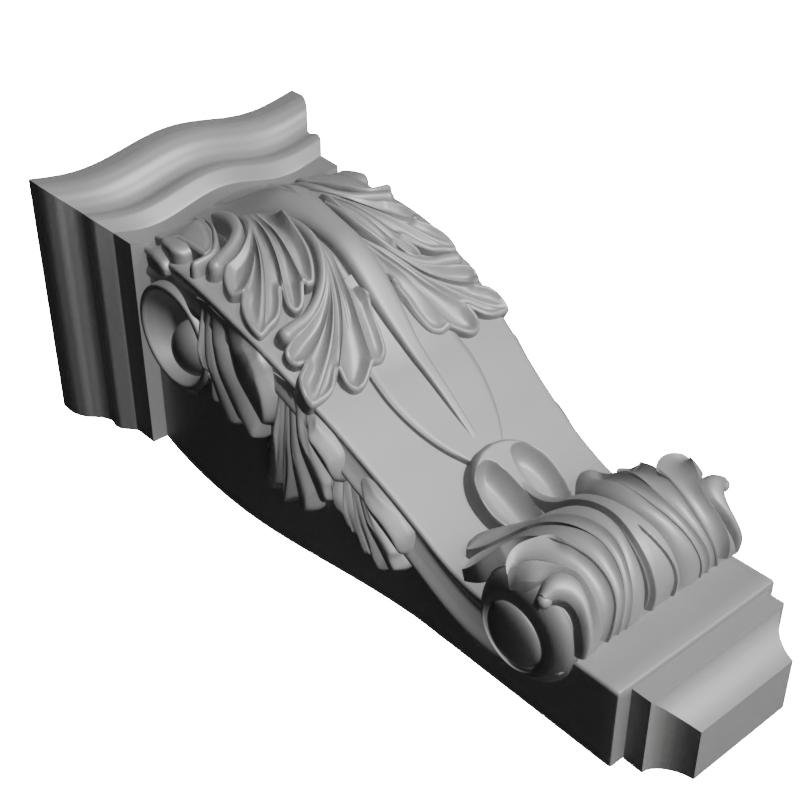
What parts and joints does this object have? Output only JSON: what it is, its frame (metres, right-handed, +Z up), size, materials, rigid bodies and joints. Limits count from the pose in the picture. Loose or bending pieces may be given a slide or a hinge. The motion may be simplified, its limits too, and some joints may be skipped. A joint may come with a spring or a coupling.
{
  "type": "carved corbel bracket",
  "caption": "Carved wooden corbel with a moulded cap, acanthus leaves on an S-shaped body with scrolled sides, and a small moulded pendant.",
  "frame": {"origin": "middle of the flat back face, where the corbel is fixed to the wall", "axes": "+Z up along the wall, +Y into the wall, -Y out to the front, +X to the right seen from the front"},
  "size_m": [0.125, 0.1066, 0.3],
  "materials": {
    "cap_paint": "satin grey paint over close-grained wood",
    "body_paint": "satin grey paint over carved wood",
    "pendant_paint": "satin grey paint over close-grained wood"
  },
  "bodies": {
    "root": {"cap": "cap_paint", "body": "body_paint", "pendant": "pendant_paint"}
  },
  "joints": []
}
